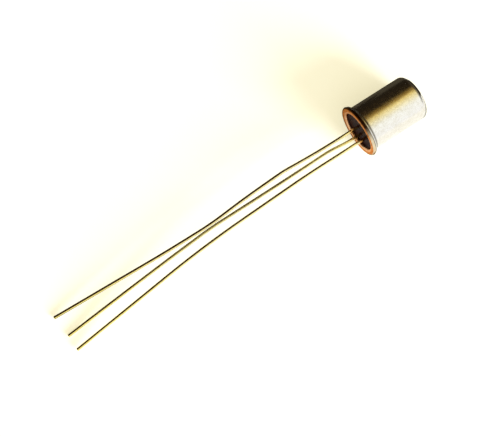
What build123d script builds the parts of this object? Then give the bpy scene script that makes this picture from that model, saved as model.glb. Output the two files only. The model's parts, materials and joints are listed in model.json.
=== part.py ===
from build123d import *
from math import acos, asin, atan2, cos, degrees, hypot, radians, sin, tan
import os

# A small germanium transistor that lies on a table. A drawn metal can is closed by a copper
# eyelet with a glass seal, and three stiff wire leads bend down from it to the table.
# All sizes are in millimetres.
# The header is drawn upright: Z = 0 is the face of its flange and +Z points into the can.
# Then everything is laid on its side, with the closed end towards +X and the table at Z = 0.

# Can
can_radius = 3.05
can_wall = 0.20
can_height = 8.85
can_corner_radius = 0.80
can_inner_corner_break = 0.45
can_flange_radius = 3.42
can_flange_thickness = 0.25
can_flange_edge_break = 0.06
can_flange_bend_break = 0.10

# Copper eyelet
eyelet_flange_radius = 3.52
eyelet_flange_thickness = 0.32
eyelet_edge_break = 0.08
eyelet_lip_radius = 0.20
eyelet_wall = 0.20
eyelet_collar_over_glass = 0.20
collar_clearance = 0.02

# Glass seal, which climbs a little up the collar
glass_below_lip = 0.10
glass_thickness = 1.08
glass_wall_climb = 0.12
glass_wall_climb_width = 0.70

# Leads, with their pins on a circle that sits a little to one side of the axis
wire_radius = 0.21
pin_circle_radius = 0.85
pin_circle_offset = -0.31
post_rise = 1.60
straight_out = 1.50

# How the leads lie: how far they reach from the header, how much further the emitter lead
# goes, where each tip is sideways from its pin, and how high its centre is over the table.
# The base lead's tip lies on the table.
lead_reach = 44.40
emitter_lead_extra = 0.35
emitter_tip_sideways = 1.22
emitter_tip_height = 0.30
base_tip_sideways = -0.84
collector_tip_sideways = -2.08
collector_tip_height = 0.45

# The bends, chosen by hand in percent of the lead's reach: how far out, how far sideways
# from the pin, and how high over the straight line from the pin to the tip. The arc of each
# bend takes the same share of the shorter run beside it.
emitter_bends = [(29.6, 0.82, 3.20), (49.0, -0.25, 3.05), (64.2, 0.28, 2.52)]
base_bends = [(9.5, 0.66, 1.15), (49.5, 0.90, 2.85), (78.0, -0.50, 0.95)]
collector_bends = [(18.0, 0.13, 2.05), (54.3, -0.53, 2.26)]
bend_share = 0.36

# Base tab, welded to a flat that is coined on the inner end of the base lead
tab_thickness = 0.15
tab_hole_radius = 0.75
tab_side_rim = 0.45
tab_top_rim = 0.55
tab_corner_radius = 0.50
tab_over_glass = 0.50
coined_flat_depth = 0.12

# Crystal and its contacts
solder_thickness = 0.05
solder_step = 0.05
solder_width = 0.15
wafer_margin = 0.05
wafer_thickness = 0.12
wafer_over_post = 0.20
emitter_pellet_radius = 0.38
emitter_pellet_height = 0.30
collector_pellet_radius = 0.60
collector_pellet_height = 0.35
contact_wire_radius = 0.06
contact_wire_bend = 0.25
contact_wire_bite = 0.10

# Places that follow from the sizes above
can_inner_radius = can_radius - can_wall
collar_radius = can_inner_radius - collar_clearance
glass_radius = collar_radius - eyelet_wall
glass_edge = eyelet_lip_radius + glass_below_lip
glass_face = glass_edge + glass_wall_climb
glass_back = glass_face + glass_thickness
post_end = glass_back + post_rise

tab_foot = glass_back + tab_over_glass
solder_inner_radius = tab_hole_radius + solder_step
solder_outer_radius = solder_inner_radius + solder_width
wafer_side = 2 * (solder_outer_radius + wafer_margin)
crystal_height = post_end + wafer_over_post + wafer_side / 2
tab_width = 2 * (tab_hole_radius + tab_side_rim)
tab_height = crystal_height + tab_hole_radius + tab_top_rim - tab_foot

emitter_pin = (0, pin_circle_offset + pin_circle_radius)
base_pin = (pin_circle_radius, pin_circle_offset)
collector_pin = (0, pin_circle_offset - pin_circle_radius)

tab_face = pin_circle_offset + coined_flat_depth
wafer_front = tab_face - solder_thickness
wafer_back = wafer_front - wafer_thickness

# The part lies on the edge of the eyelet's flange and on the round far corner of the can, so
# the tilt is that of a line from the edge that touches the corner's circle.
edge_height = eyelet_flange_thickness - eyelet_edge_break
fall = eyelet_flange_radius - (can_radius - can_corner_radius)
run = can_height - can_corner_radius - edge_height
tilt = acos(can_corner_radius / hypot(fall, run)) - atan2(run, fall)
seat_height = eyelet_flange_radius * cos(tilt) + edge_height * sin(tilt)
lay_down = Pos(0, 0, seat_height) * Rot(0, 90 + degrees(tilt), 0)


def broken(start, corner, end):
    return Line(start, end)


def rounded(start, corner, end):
    return TangentArc(start, end, tangent=corner - start)


def drawn(start, corner, end):
    """A quarter turn whose curve grows smoothly, as in drawn sheet metal."""
    fullness = 4 / 3 * tan(radians(90) / 4)
    return Bezier(start, start + (corner - start) * fullness, end + (corner - end) * fullness, end)


def spun(corners):
    """Turns a closed outline of square corners about Z. A corner is its radius, its height, the
    size of its edge and the form of that edge."""
    places = [Vector(radius, 0, height) for radius, height, size, form in corners]
    starts, ends = [], []
    neighbours = zip(places[-1:] + places, places, places[1:] + places[:1], corners)
    for before, place, after, (radius, height, size, form) in neighbours:
        starts.append(place + (before - place).normalized() * size)
        ends.append(place + (after - place).normalized() * size)
    outline = [Line(end, start) for end, start in zip(ends, starts[1:] + starts[:1])]
    for start, place, end, (radius, height, size, form) in zip(starts, places, ends, corners):
        if form:
            outline.append(form(start, place, end))
    return revolve(make_face(Curve() + outline), Axis.Z)


def drawn_can():
    seat = eyelet_flange_thickness
    flange_back = seat + can_flange_thickness
    ceiling = can_height - can_wall
    return spun([
        (can_inner_radius, seat, 0, None),
        (can_flange_radius, seat, can_flange_edge_break, broken),
        (can_flange_radius, flange_back, can_flange_edge_break, broken),
        (can_radius, flange_back, can_flange_bend_break, broken),
        (can_radius, can_height, can_corner_radius, drawn),
        (0, can_height, 0, None),
        (0, ceiling, 0, None),
        (can_inner_radius, ceiling, can_inner_corner_break, broken),
    ])


def copper_eyelet():
    collar_end = glass_back + eyelet_collar_over_glass
    return spun([
        (glass_radius, 0, eyelet_lip_radius, rounded),
        (eyelet_flange_radius, 0, eyelet_edge_break, broken),
        (eyelet_flange_radius, eyelet_flange_thickness, eyelet_edge_break, broken),
        (collar_radius, eyelet_flange_thickness, 0, None),
        (collar_radius, collar_end, 0, None),
        (glass_radius, collar_end, 0, None),
    ])


def glass_bead():
    dip = (glass_radius - glass_wall_climb_width, 0, glass_face)
    edge = (glass_radius, 0, glass_edge)
    outline = [
        Line((0, 0, glass_face), dip),
        TangentArc(dip, edge, tangent=(1, 0, 0)),
        Line(edge, (glass_radius, 0, glass_back)),
        Line((glass_radius, 0, glass_back), (0, 0, glass_back)),
        Line((0, 0, glass_back), (0, 0, glass_face)),
    ]
    bead = revolve(make_face(Curve() + outline), Axis.Z)
    hole = Cylinder(wire_radius, glass_back, align=(Align.CENTER, Align.CENTER, Align.MIN))
    for x, y in (emitter_pin, base_pin, collector_pin):
        bead -= Pos(x, y, 0) * hole
    return bead


def wire_lead(pin, reach, bends, tip_sideways, tip_height):
    """A stiff wire: straight through the glass, then runs that are joined by tangent arcs."""
    inwards = Vector(cos(tilt), 0, -sin(tilt))
    leaving = (lay_down * Pos(pin[0], pin[1], 0)).position
    points = [leaving + inwards * post_end, leaving - inwards * straight_out]
    turns = [(out / 100, sideways / 100 * reach, over / 100 * reach) for out, sideways, over in bends]
    for share, sideways, over in turns + [(1, tip_sideways, 0)]:
        height = leaving.Z + (tip_height - leaving.Z) * share + over
        points.append(Vector(leaving.X - share * reach, leaving.Y + sideways, height))
    runs = [end - start for start, end in zip(points, points[1:])]
    radii = []
    for before, after in zip(runs, runs[1:]):
        half_turn = radians(before.get_angle(after)) / 2
        radii.append(bend_share * min(before.length, after.length) / tan(half_turn))
    path = FilletPolyline(*points, radius=radii)
    return sweep((path ^ 0) * Circle(wire_radius), path=path)


def emitter_wire_lead():
    tip = (emitter_tip_sideways, emitter_tip_height)
    return wire_lead(emitter_pin, lead_reach + emitter_lead_extra, emitter_bends, *tip)


def collector_wire_lead():
    tip = (collector_tip_sideways, collector_tip_height)
    return wire_lead(collector_pin, lead_reach, collector_bends, *tip)


def base_wire_lead():
    lead = wire_lead(base_pin, lead_reach, base_bends, base_tip_sideways, wire_radius)
    coin = Box(4 * wire_radius, 2 * wire_radius, post_end, align=(Align.CENTER, Align.MIN, Align.MIN))
    return lead - lay_down * Pos(base_pin[0], tab_face, tab_foot) * coin


def across_crystal(y):
    """The plane across the crystal's axis at this Y, with its own Z along +Y."""
    return Plane(origin=(0, y, crystal_height), x_dir=(1, 0, 0), z_dir=(0, 1, 0))


def nickel_tab():
    middle = crystal_height - tab_foot - tab_height / 2
    outline = Pos(0, middle) * RectangleRounded(tab_width, tab_height, tab_corner_radius)
    return extrude(across_crystal(tab_face) * (outline - Circle(tab_hole_radius)), tab_thickness)


def ring_of_solder():
    ring = Circle(solder_outer_radius) - Circle(solder_inner_radius)
    return extrude(across_crystal(wafer_front) * ring, solder_thickness)


def germanium_chip():
    return extrude(across_crystal(wafer_back) * Rectangle(wafer_side, wafer_side), wafer_thickness)


def indium_dome(radius, height):
    """A cap of a ball, with its flat side on Z = 0."""
    ball = (radius ** 2 + height ** 2) / (2 * height)
    half_angle = asin(radius / ball) / 2
    middle = (ball * sin(half_angle), 0, height - ball + ball * cos(half_angle))
    outline = [
        Line((0, 0, 0), (radius, 0, 0)),
        ThreePointArc((radius, 0, 0), middle, (0, 0, height)),
        Line((0, 0, height), (0, 0, 0)),
    ]
    return revolve(make_face(Curve() + outline), Axis.Z)


def contact_wire(pin, start):
    """A thin wire from a pellet, over two bends, down to the end of the post over this pin."""
    side = 1 if start > pin[1] else -1
    path = Polyline(
        (pin[0], start, crystal_height),
        (pin[0], pin[1] + side * contact_wire_bend, crystal_height),
        (pin[0], pin[1], crystal_height - contact_wire_bend),
        (pin[0], pin[1], post_end),
    )
    return sweep((path ^ 0) * Circle(contact_wire_radius), path=path, transition=Transition.RIGHT)


emitter_contact = contact_wire(emitter_pin, wafer_front + emitter_pellet_height - contact_wire_bite)
collector_contact = contact_wire(collector_pin, wafer_back - collector_pellet_height + contact_wire_bite)
emitter_dome = indium_dome(emitter_pellet_radius, emitter_pellet_height)
emitter_dome = across_crystal(wafer_front).location * emitter_dome
collector_dome = indium_dome(collector_pellet_radius, collector_pellet_height)
collector_dome = across_crystal(wafer_back).location * Rot(180, 0, 0) * collector_dome

nodes = {
    "can": lay_down * drawn_can(),
    "header_eyelet": lay_down * copper_eyelet(),
    "glass_seal": lay_down * glass_bead(),
    "emitter_lead": emitter_wire_lead(),
    "base_lead": base_wire_lead(),
    "collector_lead": collector_wire_lead(),
    "base_tab": lay_down * nickel_tab(),
    "solder_ring": lay_down * ring_of_solder(),
    "germanium_wafer": lay_down * germanium_chip(),
    "emitter_pellet": lay_down * (emitter_dome - emitter_contact),
    "collector_pellet": lay_down * (collector_dome - collector_contact),
    "emitter_wire": lay_down * emitter_contact,
    "collector_wire": lay_down * collector_contact,
}

# The origin is the middle of the whole part's outline, on the table
outline_box = Compound(list(nodes.values())).bounding_box()
to_origin = Pos(-outline_box.center().X, -outline_box.center().Y, -outline_box.min.Z)

os.makedirs("parts", exist_ok=True)
for name, shape in nodes.items():
    export_step(to_origin * shape, f"parts/{name}.step")
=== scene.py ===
import json
from math import cos, pi, radians, sin, tan

import bmesh
import bpy
from mathutils import Matrix, Vector


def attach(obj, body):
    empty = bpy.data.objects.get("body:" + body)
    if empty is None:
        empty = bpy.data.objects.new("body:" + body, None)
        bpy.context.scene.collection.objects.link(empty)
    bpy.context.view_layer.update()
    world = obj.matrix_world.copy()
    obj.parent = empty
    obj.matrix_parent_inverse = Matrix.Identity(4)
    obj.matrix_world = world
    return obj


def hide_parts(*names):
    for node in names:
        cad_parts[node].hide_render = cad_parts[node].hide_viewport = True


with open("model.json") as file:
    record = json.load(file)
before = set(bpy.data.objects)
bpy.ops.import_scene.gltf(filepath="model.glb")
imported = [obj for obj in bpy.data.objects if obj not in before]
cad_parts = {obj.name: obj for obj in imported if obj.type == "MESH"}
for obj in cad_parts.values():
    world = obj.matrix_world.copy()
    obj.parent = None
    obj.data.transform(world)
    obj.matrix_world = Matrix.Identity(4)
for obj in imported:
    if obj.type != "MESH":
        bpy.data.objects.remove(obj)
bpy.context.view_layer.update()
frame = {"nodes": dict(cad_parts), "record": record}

# A germanium transistor that lies on a table. The pieces are drawn upright in millimetres, with
# the flange face at Z = 0 and the closed end of the can up, and are then laid on their side.

scene = bpy.context.scene
scene.view_settings.view_transform = "Standard"

lay = {
    "faceX": 17.9062,        # middle of the flange face, mm
    "faceZ": 3.52806,
    "tilt": 3.43335,         # degrees
}
mm = 0.001
laid = Matrix.Scale(mm, 4) @ Matrix.Translation((lay["faceX"], 0, lay["faceZ"]))
laid = laid @ Matrix.Rotation(radians(90 + lay["tilt"]), 4, "Y")


# Camera

cameraSetup = {
    "place": (-8.876, -15.840, 120.67),        # mm
    "heading": -33.48,                         # degrees
    "down": 81.76,
    "lens": 68.4,
    "sensor": 36,
    "nearest": 5,                              # mm
}


def makeCamera():
    data = bpy.data.cameras.new("camera")
    data.lens = cameraSetup["lens"]
    data.sensor_width = cameraSetup["sensor"]
    data.clip_start = cameraSetup["nearest"] * mm
    heading, down = radians(cameraSetup["heading"]), radians(cameraSetup["down"])
    ahead = Vector((-sin(heading) * cos(down), cos(heading) * cos(down), -sin(down)))
    right = Vector((cos(heading), sin(heading), 0))
    turn = Matrix((right, right.cross(ahead), -ahead)).transposed().to_4x4()
    camera = bpy.data.objects.new("camera", data)
    camera.matrix_world = Matrix.Translation(Vector(cameraSetup["place"]) * mm) @ turn
    scene.collection.objects.link(camera)
    scene.camera = camera


makeCamera()
print("camera ready")


# Shader maths

class Flow:
    def __init__(self, tree, socket=None):
        self.tree = tree
        self.socket = socket

    def node(self, kind, settings, sockets, out=0):
        made = self.tree.nodes.new("ShaderNode" + kind)
        for name, value in settings.items():
            if name == "stops":
                setStops(made.color_ramp, value)
            else:
                setattr(made, name, value)
        for name, value in sockets.items():
            if isinstance(value, Flow):
                self.tree.links.new(value.socket, made.inputs[name])
            else:
                made.inputs[name].default_value = value
        return Flow(self.tree, made.outputs[out] if made.outputs else None)

    def math(self, operation, *values):
        return self.node("Math", {"operation": operation}, dict(enumerate(values)))

    def vector(self, operation, *values, out=0):
        return self.node("VectorMath", {"operation": operation}, dict(enumerate(values)), out)

    def mix(self, first, second, share):
        return self.node("Mix", {"data_type": "RGBA"}, {0: share, 6: first, 7: second}, 2)

    def ramp(self, *stops):
        return self.node("ValToRGB", {"stops": stops}, {"Fac": self})

    def between(self, low, high):        # 0 at low, 1 at high
        return self.node("MapRange", {}, {"Value": self, "From Min": low, "From Max": high})

    def __add__(self, other):
        return self.math("ADD", self, other)

    def __sub__(self, other):
        return self.math("SUBTRACT", self, other)

    def __rsub__(self, other):
        return self.math("SUBTRACT", other, self)

    def __mul__(self, other):
        return self.math("MULTIPLY", self, other)

    __radd__ = __add__
    __rmul__ = __mul__


def setStops(ramp, stops):
    while len(ramp.elements) > 1:
        ramp.elements.remove(ramp.elements[-1])
    for index, (place, colour) in enumerate(stops):
        element = ramp.elements[0] if index == 0 else ramp.elements.new(place)
        element.position = place
        element.color = rgb(*colour)


def rgb(red, green, blue):
    return (red, green, blue, 1)


def newFlow(name):
    material = bpy.data.materials.new(name)
    material.use_nodes = True
    material.node_tree.nodes.clear()
    return material, Flow(material.node_tree)


def closeMaterial(flow, sockets):
    shader = flow.node("BsdfPrincipled", {}, sockets)
    flow.node("OutputMaterial", {}, {"Surface": shader})


def uprightPlace(flow):        # millimetres in the upright drawing
    place = flow.node("TexCoord", {}, {}, "Object")
    turn = (0, radians(90 + lay["tilt"]), 0)
    centre = (lay["faceX"] * mm, 0, lay["faceZ"] * mm)
    return flow.node("Mapping", {"vector_type": "TEXTURE"},
                     {"Vector": place, "Location": centre, "Rotation": turn, "Scale": (mm, mm, mm)})


def noise(flow, place, scale, detail, roughness, stretch=None):
    if stretch:
        place = flow.vector("MULTIPLY", place, stretch)
    return flow.node("TexNoise", {},
                     {"Vector": place, "Scale": scale, "Detail": detail, "Roughness": roughness})


def bump(flow, height, distance, strength):
    return flow.node("Bump", {}, {"Height": height, "Distance": distance, "Strength": strength})


def along(flow, place, axis):
    return flow.node("SeparateXYZ", {}, {"Vector": place}, axis)


# Finishes

def canPlating():
    look = {
        "bright": rgb(0.92, 0.91, 0.88),
        "dull": rgb(0.78, 0.75, 0.66),
        "stain": rgb(0.50, 0.42, 0.28),
        # colour for the painted shade in the crevices, with some grime
        "grimeAndShade": rgb(0.10, 0.08, 0.05),
        "rough": 0.21,
    }
    material, flow = newFlow("canPlating")
    place = uprightPlace(flow)
    height = along(flow, place, "Z")
    clouds = noise(flow, place, 0.9, 5, 0.6).between(0.35, 0.7)
    grains = noise(flow, place, 3.6, 5, 0.7).between(0.40, 0.64)
    draws = noise(flow, place, 6.0, 3, 0.6, (1, 1, 0.06)).between(0.3, 0.7)        # lines along the wall
    colour = flow.mix(look["bright"], look["dull"], clouds * 0.4 + grains * 0.45)
    stains = noise(flow, place, 2.3, 6, 0.7).between(0.60, 0.78)
    colour = flow.mix(colour, look["stain"], stains * 0.4)
    creviceShadeAndGrime = height.between(0.52, 0.60) * height.between(0.94, 0.80)        # painted shade and grime in the crease where wall and flange meet
    creviceShadeAndGrime = flow.math("MAXIMUM", creviceShadeAndGrime, height.between(0.47, 0.38))      # and painted shade with grime where it is welded on, between can and eyelet
    # painted shade: the crevices are darkened, with some grime
    colour = flow.mix(colour, look["grimeAndShade"], creviceShadeAndGrime * (clouds * 0.3 + 0.65))
    rough = clouds * 0.08 + grains * 0.08 + draws * 0.05 + creviceShadeAndGrime * 0.2 + (look["rough"] - 0.08)
    dents = noise(flow, place, 0.8, 3, 0.5) * 5
    relief = grains * 0.6 + draws * 0.4 + dents
    closeMaterial(flow, {"Base Color": colour, "Metallic": 1, "Roughness": rough,
                         "Normal": bump(flow, relief, 0.000004, 0.6)})
    return material


def wornCopper():
    look = {
        "copper": rgb(0.64, 0.20, 0.030),
        "pale": rgb(0.80, 0.36, 0.14),
        "edgeOn": rgb(0.94, 0.66, 0.46),
        "stainAndShadeBrown": rgb(0.16, 0.045, 0.012),
        # rim: painted shade on the edge; the plated colour is its lit copy
        "rim": rgb(0.030, 0.015, 0.008),
        "litPlatedEdge": rgb(0.84, 0.77, 0.58),
        # paler colour for the painted highlight on the lip
        "lipHighlight": rgb(0.98, 0.76, 0.50),
        "rough": 0.30,
    }
    material, flow = newFlow("wornCopper")
    place = uprightPlace(flow)
    across = flow.vector("LENGTH", flow.vector("MULTIPLY", place, (1, 1, 0)), out="Value")
    clouds = noise(flow, place, 0.8, 4, 0.6).between(0.38, 0.64)
    stains = noise(flow, place, 2.6, 6, 0.7).between(0.46, 0.70)
    side, down = along(flow, place, "Y"), along(flow, place, "X")
    colour = flow.mix(look["copper"], look["pale"], clouds * 0.6)
    # brown stains at random, and painted shade: darker towards the side away from the key light
    colour = flow.mix(colour, look["stainAndShadeBrown"], stains * 0.55 + side.between(0.2, 3.4) * 0.35)
    lipHighlight = across.between(3.00, 2.84)        # painted highlight and rubbed metal round the opening
    colour = flow.mix(colour, look["lipHighlight"], lipHighlight * (clouds * 0.3 + 0.30))
    rim = (across + stains * 0.08).between(3.24, 3.42)        # painted shade: the edge made dark, as its reflection of the dark side
    litPlatedEdge = side.between(-0.5, -2.3) * side.between(-3.54, -3.32) * down.between(1.4, 0.2)
    edge = flow.mix(look["rim"], look["litPlatedEdge"], litPlatedEdge)      # painted light: pale plating where the edge faces the light, painted dark elsewhere
    colour = flow.mix(colour, edge, rim * 0.94)
    rough = stains * 0.2 + clouds * 0.06 + rim * 0.15 - lipHighlight * 0.10 + look["rough"]
    grain = noise(flow, place, 9.0, 4, 0.6)
    closeMaterial(flow, {"Base Color": colour, "Metallic": 1, "Roughness": rough,
                         "Specular Tint": look["edgeOn"], "Normal": bump(flow, grain, 0.000010, 0.5)})
    return material


def sealingGlass():
    look = {
        "dark": rgb(0.006, 0.001, 0.001),
        "plum": rgb(0.030, 0.006, 0.005),
    }
    material, flow = newFlow("sealingGlass")
    place = uprightPlace(flow)
    mottle = noise(flow, place, 2.2, 5, 0.65).between(0.38, 0.66)
    closeMaterial(flow, {"Base Color": flow.mix(look["dark"], look["plum"], mottle), "Metallic": 0,
                         "Roughness": mottle * 0.15 + 0.32, "IOR": 1.30, "Specular IOR Level": 0.06,
                         "Normal": bump(flow, mottle, 0.000015, 0.5)})
    return material


def tarnishedGold():
    look = {
        "gold": rgb(0.98, 0.88, 0.46),
        "amber": rgb(1.00, 0.85, 0.24),
        "dark": rgb(0.30, 0.17, 0.045),
        "rough": 0.11,
    }
    material, flow = newFlow("tarnishedGold")
    place = flow.vector("MULTIPLY", flow.node("TexCoord", {}, {}, "Object"), (1 / mm, 1 / mm, 1 / mm))
    clouds = noise(flow, place, 0.35, 5, 0.6).between(0.4, 0.65)
    spots = noise(flow, place, 3.0, 5, 0.7).between(0.55, 0.75)
    outwards = along(flow, place, "X").between(-4, -20)        # towards the tips
    colour = flow.mix(look["gold"], look["amber"], outwards * (clouds * 0.2 + 0.6))
    colour = flow.mix(colour, look["dark"], clouds * 0.16 + spots * 0.45)
    closeMaterial(flow, {"Base Color": colour, "Metallic": 1, "Roughness": spots * 0.2 + look["rough"],
                         "Normal": bump(flow, spots, 0.000006, 0.5)})
    return material


def plainMetal(name, light, dark, rough, grain):
    material, flow = newFlow(name)
    place = uprightPlace(flow)
    clouds = noise(flow, place, grain, 5, 0.65).between(0.35, 0.68)
    lines = noise(flow, place, grain * 3, 3, 0.6, (1, 1, 0.1))
    closeMaterial(flow, {"Base Color": flow.mix(light, dark, clouds), "Metallic": 1,
                         "Roughness": clouds * 0.15 + rough, "Normal": bump(flow, lines, 0.000004, 0.5)})
    return material


finishes = {
    "can_plating": canPlating(),
    "header_copper": wornCopper(),
    "seal_glass": sealingGlass(),
    "lead_wire": tarnishedGold(),
    "tab_nickel": plainMetal("stampedNickel", rgb(0.66, 0.63, 0.58), rgb(0.48, 0.45, 0.40), 0.32, 2.0),
    "soft_solder": plainMetal("softSolder", rgb(0.72, 0.73, 0.74), rgb(0.50, 0.51, 0.53), 0.28, 3.0),
    "germanium": plainMetal("etchedGermanium", rgb(0.44, 0.45, 0.48), rgb(0.30, 0.31, 0.34), 0.38, 2.5),
    "indium": plainMetal("indiumMetal", rgb(0.76, 0.77, 0.80), rgb(0.56, 0.57, 0.60), 0.30, 3.5),
    "contact_nickel": plainMetal("contactNickel", rgb(0.66, 0.64, 0.60), rgb(0.46, 0.43, 0.38), 0.30, 4.0),
}
print("finishes ready")


# Pieces

def keepPiece(name, mesh, slot, node):
    data = bpy.data.meshes.new(name)
    mesh.to_mesh(data)
    mesh.free()
    data.shade_smooth()
    data.materials.append(finishes[slot])
    piece = bpy.data.objects.new(name, data)
    scene.collection.objects.link(piece)
    soft = piece.modifiers.new("evenNormals", "WEIGHTED_NORMAL")
    soft.keep_sharp = True
    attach(piece, "root")
    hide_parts(node)
    print(name, len(data.polygons), "faces")


near = {
    "merge": 1e-5,         # mm, points that are one
    "height": 1e-4,        # how far a point may be off its ring
    "radius": 1e-3,
}


def turned(corners, steps):        # corners: radius, height, edge size, edge segments
    mesh = bmesh.new()
    rim = [mesh.verts.new((radius, 0, height)) for radius, height, size, segments in corners]
    for start, end in zip(rim, rim[1:] + rim[:1]):
        mesh.edges.new((start, end))
    bmesh.ops.spin(mesh, geom=mesh.verts[:] + mesh.edges[:], cent=(0, 0, 0), axis=(0, 0, 1),
                   angle=2 * pi, steps=steps, use_merge=True)
    bmesh.ops.remove_doubles(mesh, verts=mesh.verts, dist=near["merge"])
    bmesh.ops.recalc_face_normals(mesh, faces=mesh.faces)
    for radius, height, size, segments in corners:
        if size:
            ring = [edge for edge in mesh.edges if all(onRing(vert, radius, height) for vert in edge.verts)]
            bmesh.ops.bevel(mesh, geom=ring, offset=size, offset_type="OFFSET", affect="EDGES",
                            segments=segments, profile=0.5, material=-1, clamp_overlap=False)
    return mesh


def onRing(vert, radius, height):
    level = abs(vert.co.z - height) < near["height"]
    return level and abs(vert.co.xy.length - radius) < near["radius"]


def layDown(mesh):
    bmesh.ops.transform(mesh, matrix=laid, verts=mesh.verts)
    return mesh


canForm = {
    "radius": 3.05,
    "wall": 0.20,
    "height": 8.85,
    "endRound": 0.80,
    "mouthRound": 0.06,
    "flangeRadius": 3.42,
    "flange": 0.25,
    "flangeRound": 0.09,
    "flangeBend": 0.12,
    "steps": 160,
}
eyeletForm = {
    "flangeRadius": 3.52,
    "flange": 0.32,
    "faceRound": 0.19,
    "flangeRound": 0.09,
    "bore": 2.63,
    "lipRound": 0.20,
    "collar": 2.83,
    "collarEnd": 1.70,
    "collarRound": 0.03,
    "steps": 160,
}


def makeCan():
    form, seat = canForm, eyeletForm["flange"]
    inner, ceiling = form["radius"] - form["wall"], form["height"] - form["wall"]
    back = seat + form["flange"]
    mesh = turned([
        (inner, seat, form["mouthRound"], 3),
        (form["flangeRadius"], seat, form["flangeRound"], 4),
        (form["flangeRadius"], back, form["flangeRound"], 4),
        (form["radius"], back, form["flangeBend"], 5),
        (form["radius"], form["height"], form["endRound"], 14),
        (0, form["height"], 0, 0),
        (0, ceiling, 0, 0),
        (inner, ceiling, form["endRound"] - form["wall"], 10),
    ], form["steps"])
    keepPiece("drawnCan", layDown(mesh), "can_plating", "can")


def makeEyelet():
    form = eyeletForm
    mesh = turned([
        (form["bore"], 0, form["lipRound"], 8),
        (form["flangeRadius"], 0, form["faceRound"], 8),
        (form["flangeRadius"], form["flange"], form["flangeRound"], 4),
        (form["collar"], form["flange"], 0, 0),
        (form["collar"], form["collarEnd"], form["collarRound"], 2),
        (form["bore"], form["collarEnd"], form["collarRound"], 2),
    ], form["steps"])
    keepPiece("copperEyelet", layDown(mesh), "header_copper", "header_eyelet")


makeCan()
makeEyelet()


# Leads: stiff wire along the runs and bends of the solids, with a few small corners more

wireForm = {
    "radius": 0.21,
    "around": 28,
    "tipRound": 0.05,
    "inside": 3.12,          # from the flange face to the inner end
    "straight": 1.50,        # straight out of the glass
    "share": 0.36,           # part of the shorter run that a bend takes, unless the bend has its own
    "reach": 44.40,
    "bendStep": radians(0.8),
    "fewestSteps": 4,
}

# pin: where the lead leaves the face, mm. bends: how far out, to which side and how far above the
# straight line from pin to tip, each in hundredths of the reach. tip: side and height, mm.
leads = {
    "emitter_lead": {
        "pin": (0, 0.54),
        "extra": 0.35,
        "bends": [(12.5, 0.20, 1.38), (24.0, 0.80, 2.72), (37.0, 0.44, 3.05),
                  (49.0, -0.30, 3.05), (64.2, 0.28, 2.52)],
        "tight": {2: 0.12},        # a sharp elbow
        "tip": (1.22, 0.30),
    },
    "base_lead": {
        "pin": (0.85, -0.31),
        "extra": 0,
        "bends": [(9.5, 0.74, 1.15), (25.0, 0.66, 1.82), (49.5, 0.92, 2.80),
                  (62.0, 0.38, 2.02), (78.0, -0.48, 0.95)],
        "tip": (-0.84, 0.21),
    },
    "collector_lead": {
        "pin": (0, -1.16),
        "extra": 0,
        "bends": [(18.0, 0.13, 2.05), (54.3, -0.53, 2.26)],
        "tip": (-2.08, 0.45),
    },
}


def leadCorners(lead):
    tilt = radians(lay["tilt"])
    inwards = Vector((cos(tilt), 0, -sin(tilt)))
    leaving = (laid @ Vector((*lead["pin"], 0))) / mm
    reach = wireForm["reach"] + lead["extra"]
    corners = [leaving + inwards * wireForm["inside"], leaving - inwards * wireForm["straight"]]
    turns = [(out / 100, side / 100 * reach, over / 100 * reach) for out, side, over in lead["bends"]]
    tipSide, tipHeight = lead["tip"]
    for share, side, over in turns + [(1, tipSide, 0)]:
        level = leaving.z + (tipHeight - leaving.z) * share + over
        corners.append(Vector((leaving.x - share * reach, leaving.y + side, level)))
    return corners


def newest(made, kind):
    return [item for item in made if isinstance(item, kind)]


def straightOn(mesh, rim, run, length):
    grown = bmesh.ops.extrude_edge_only(mesh, edges=rim)["geom"]
    verts = newest(grown, bmesh.types.BMVert)
    bmesh.ops.translate(mesh, verts=verts, vec=run.normalized() * length)
    fresh = set(verts)
    return [edge for edge in newest(grown, bmesh.types.BMEdge) if set(edge.verts) <= fresh]


def bendOn(mesh, rim, corner, run, after, taken):
    angle = run.angle(after)
    axis = run.cross(after).normalized()
    begin = corner - run.normalized() * taken
    centre = begin + axis.cross(run).normalized() * (taken / tan(angle / 2))
    steps = max(wireForm["fewestSteps"], round(angle / wireForm["bendStep"]))
    rounded = bmesh.ops.spin(mesh, geom=rim, cent=centre, axis=axis, angle=angle, steps=steps)
    return newest(rounded["geom_last"], bmesh.types.BMEdge)


def bentWire(corners, tight):
    mesh = bmesh.new()
    runs = [end - start for start, end in zip(corners, corners[1:])]
    facing = runs[0].to_track_quat("Z", "Y").to_matrix().to_4x4()
    bmesh.ops.create_circle(mesh, segments=wireForm["around"], radius=wireForm["radius"],
                            matrix=Matrix.Translation(corners[0]) @ facing)
    rim = mesh.edges[:]
    start = bmesh.ops.contextual_create(mesh, geom=rim)["faces"]
    left = 0        # how much of the run the bend before it has taken
    for index, (run, after) in enumerate(zip(runs, runs[1:])):
        taken = tight.get(index, wireForm["share"]) * min(run.length, after.length)
        rim = straightOn(mesh, rim, run, run.length - left - taken)
        rim = bendOn(mesh, rim, corners[index + 1], run, after, taken)
        left = taken
    rim = straightOn(mesh, rim, runs[-1], runs[-1].length - left)
    end = bmesh.ops.contextual_create(mesh, geom=rim)["faces"]
    bmesh.ops.recalc_face_normals(mesh, faces=mesh.faces)
    cuts = [edge for face in start + end for edge in face.edges]
    bmesh.ops.bevel(mesh, geom=cuts, offset=wireForm["tipRound"], offset_type="OFFSET", affect="EDGES",
                    segments=3, profile=0.5, material=-1)
    bmesh.ops.scale(mesh, vec=(mm, mm, mm), verts=mesh.verts)
    return mesh


for name, lead in leads.items():
    wire = bentWire(leadCorners(lead), lead.get("tight", {}))
    keepPiece(name.replace("_l", "L"), wire, "lead_wire", name)


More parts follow.
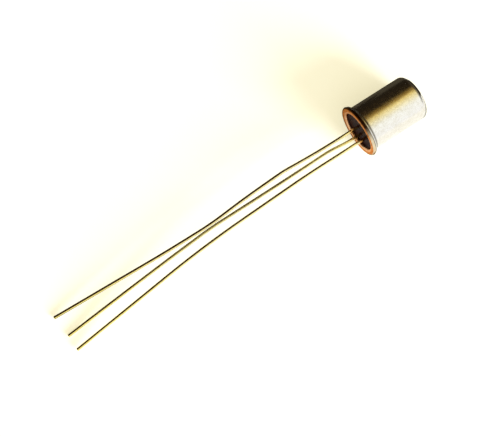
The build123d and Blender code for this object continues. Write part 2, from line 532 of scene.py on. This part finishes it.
# Glass seal: it climbs a little up the collar and up each wire

glassForm = {
    "radius": 2.635,
    "edge": 0.30,        # where it ends on the collar
    "face": 0.42,
    "back": 1.50,
    "climb": [(1.93, 0.42), (2.22, 0.41), (2.43, 0.385), (2.56, 0.345)],        # up the collar
    "pinClimb": [(0.19, 0.46), (0.19, 0.34), (0.22, 0.37), (0.27, 0.39),        # up each wire
                 (0.35, 0.41), (0.50, 0.425), (0.50, 0.46)],
    "steps": 160,
    "pinSteps": 32,
}


def makeGlass():
    form = glassForm
    mesh = turned([
        (form["radius"], form["edge"], 0, 0),
        (form["radius"], form["back"], 0, 0),
        (0, form["back"], 0, 0),
        (0, form["face"], 0, 0),
        *[(radius, height, 0, 0) for radius, height in form["climb"]],
    ], form["steps"])
    for lead in leads.values():
        ring = turned([(radius, height, 0, 0) for radius, height in form["pinClimb"]], form["pinSteps"])
        bmesh.ops.translate(ring, verts=ring.verts, vec=(*lead["pin"], 0))
        data = bpy.data.meshes.new("pinClimb")
        ring.to_mesh(data)
        ring.free()
        mesh.from_mesh(data)
        bpy.data.meshes.remove(data)
    keepPiece("glassSeal", layDown(mesh), "seal_glass", "glass_seal")


makeGlass()


# Inner pieces keep their solids

for part in frame["record"]["subparts"]:
    node = frame["nodes"][part["node"]]
    node.data.materials.clear()
    node.data.materials.append(finishes[part["material_slot"]])
print("inner pieces finished")


# Stage

stageSetup = {
    "floor": 0.54,                             # how much light the floor gives back
    "glow": (0.65, 0.62, 0.44),                # what the camera sees on top of that
    "glowInMetal": (0.38, 0.39, 0.38),         # and what shows of it in reflections
    "size": 1.2,
    "keyFrom": (0.34, -0.94),                  # side that the key light comes from
    "keyHeight": 18.4,                         # degrees
    "keySoftness": 28,
    "keyStrength": 6.9,
}


def makeFloor():
    mesh = bmesh.new()
    bmesh.ops.create_grid(mesh, x_segments=2, y_segments=2, size=stageSetup["size"])
    data = bpy.data.meshes.new("floor")
    mesh.to_mesh(data)
    mesh.free()
    material, flow = newFlow("paleFloor")
    level = stageSetup["floor"]
    paper = flow.node("BsdfDiffuse", {}, {"Color": rgb(level, level, level)})
    seen = flow.node("LightPath", {}, {}, "Is Camera Ray")
    mirrored = flow.node("LightPath", {}, {}, "Is Glossy Ray")
    through = flow.node("LightPath", {}, {}, "Is Transmission Ray")
    colour = flow.mix(rgb(*stageSetup["glowInMetal"]), rgb(*stageSetup["glow"]), seen)
    glow = flow.node("Emission", {}, {"Color": colour, "Strength": seen + mirrored + through})
    both = flow.node("AddShader", {}, {0: paper, 1: glow})
    flow.node("OutputMaterial", {}, {"Surface": both})
    data.materials.append(material)
    floor = bpy.data.objects.new("floor", data)
    scene.collection.objects.link(floor)


def makeKey():
    data = bpy.data.lights.new("keyLight", "SUN")
    data.energy = stageSetup["keyStrength"]
    data.angle = radians(stageSetup["keySoftness"])
    key = bpy.data.objects.new("keyLight", data)
    side = Vector((*stageSetup["keyFrom"], 0)).normalized()
    height = radians(stageSetup["keyHeight"])
    source = side * cos(height) + Vector((0, 0, sin(height)))
    key.matrix_world = source.to_track_quat("Z", "Y").to_matrix().to_4x4()
    key.visible_glossy = False
    scene.collection.objects.link(key)


skySetup = {
    "strength": 1.05,
    "side": (0.08, -1.0, 0),                   # across the object, from the shadow side to the light
    "shades": [(0.00, (0.013, 0.009, 0.005)), (0.28, (0.014, 0.009, 0.004)),
               (0.40, (0.34, 0.20, 0.035)), (0.45, (0.88, 0.67, 0.21)),
               (0.56, (1.0, 0.90, 0.55)), (0.70, (1.0, 1.0, 0.93)), (1.00, (1.0, 1.0, 1.0))],
    "end": (1, 0.08, 0),                       # dark beyond the closed end
    "endSpread": (0.55, 0.95),
    "endShade": (0.07, 0.055, 0.035),
    "window": (-0.96, 0.05, 0.28),             # and light beyond the leads
    "windowSpread": (0.78, 0.93),
    "windowShade": (1.0, 0.86, 0.66),
}


def makeSky():
    world = bpy.data.worlds.new("studio")
    world.use_nodes = True
    world.node_tree.nodes.clear()
    flow = Flow(world.node_tree)
    look = flow.node("TexCoord", {}, {}, "Generated")
    side = flow.vector("DOT_PRODUCT", look, Vector(skySetup["side"]).normalized(), out="Value")
    lean = flow.math("ARCTAN2", side, along(flow, look, "Z")).between(-pi / 2, pi / 2)
    sky = lean.ramp(*skySetup["shades"])
    for name in ("end", "window"):
        towards = flow.vector("DOT_PRODUCT", look, skySetup[name], out="Value")
        sky = flow.mix(sky, rgb(*skySetup[name + "Shade"]), towards.between(*skySetup[name + "Spread"]))
    seen = flow.node("LightPath", {}, {}, "Is Camera Ray")
    tint = flow.mix(sky, rgb(1, 1, 1), seen)
    strength = skySetup["strength"] - seen * (skySetup["strength"] - 1)
    back = flow.node("Background", {}, {"Color": tint, "Strength": strength})
    flow.node("OutputWorld", {}, {"Surface": back})
    scene.world = world


# Dark and grey cards that only reflections see. They keep the shadow side dark.
cardSetup = {
    "shades": {
        "near": (0.060, 0.050, 0.032),
        "far": (0.014, 0.010, 0.006),
        "high": (0.046, 0.019, 0.003),
        "end": (0.026, 0.021, 0.013),
        "line": (0.36, 0.36, 0.33),
    },
    "up": 0.02,                                # mm above the floor
    "edge": (-0.3, 12.0),                      # where the near and the far cards begin
    "gap": (10.0, 17.5),                       # the floor before the flange stays bare
    "closedEnd": 28.2,
    "high": [(-90, -34), (33, -34), (32, 12), (36, 22), (52, 130), (-90, 130)],        # over the leads
    "highUp": 60,
    "ends": [                                  # beside the closed end: shade, height, outline
        ("end", 4.7, [(27.0, 3.4), (27.0, -0.3), (300, -60), (300, 300), (40, 30)]),
        ("near", 3.5, [(24.0, 3.3), (300, 3.3), (300, 12), (24.0, 12)]),
        ("line", 0.02, [(27.1, -0.3), (27.1, -5), (34, -8), (34, -0.3)]),
    ],
}


def makeCards():
    shades = {name: cardShade(name, colour) for name, colour in cardSetup["shades"].items()}
    reach = stageSetup["size"] / mm
    beside, beyond = cardSetup["edge"]
    nearTips, nearCan = cardSetup["gap"]
    for name, left, right, low, top, shade in (
            ("darkCardLeads", -reach, nearTips, beside, beyond, "near"),
            ("darkCardCan", nearCan, cardSetup["closedEnd"], beside, beyond, "near"),
            ("darkCardLeadsFar", -reach, nearTips, beyond, reach, "far"),
            ("darkCardCanFar", nearCan, reach, beyond, reach, "far")):
        outline = [(left, low), (right, low), (right, top), (left, top)]
        standCard(name, cutCard(outline, cardSetup["up"]), shades[shade])
    standCard("darkCardHigh", cutCard(cardSetup["high"], cardSetup["highUp"]), shades["high"])
    for index, (shade, up, outline) in enumerate(cardSetup["ends"]):
        standCard(f"endCard{index}", cutCard(outline, up), shades[shade])


def cutCard(corners, up):
    mesh = bmesh.new()
    outline = [mesh.verts.new((x * mm, y * mm, up * mm)) for x, y in corners]
    bmesh.ops.contextual_create(mesh, geom=outline)
    return mesh


def cardShade(name, colour):
    material, flow = newFlow(name + "Shade")
    glow = flow.node("Emission", {}, {"Color": rgb(*colour), "Strength": 1})
    flow.node("OutputMaterial", {}, {"Surface": glow})
    return material


def standCard(name, mesh, material):
    data = bpy.data.meshes.new(name)
    mesh.to_mesh(data)
    mesh.free()
    data.materials.append(material)
    card = bpy.data.objects.new(name, data)
    card.visible_camera = False
    card.visible_diffuse = False
    card.visible_shadow = False
    card.visible_transmission = False
    scene.collection.objects.link(card)


makeFloor()
makeCards()
makeKey()
makeSky()
print("stage ready")
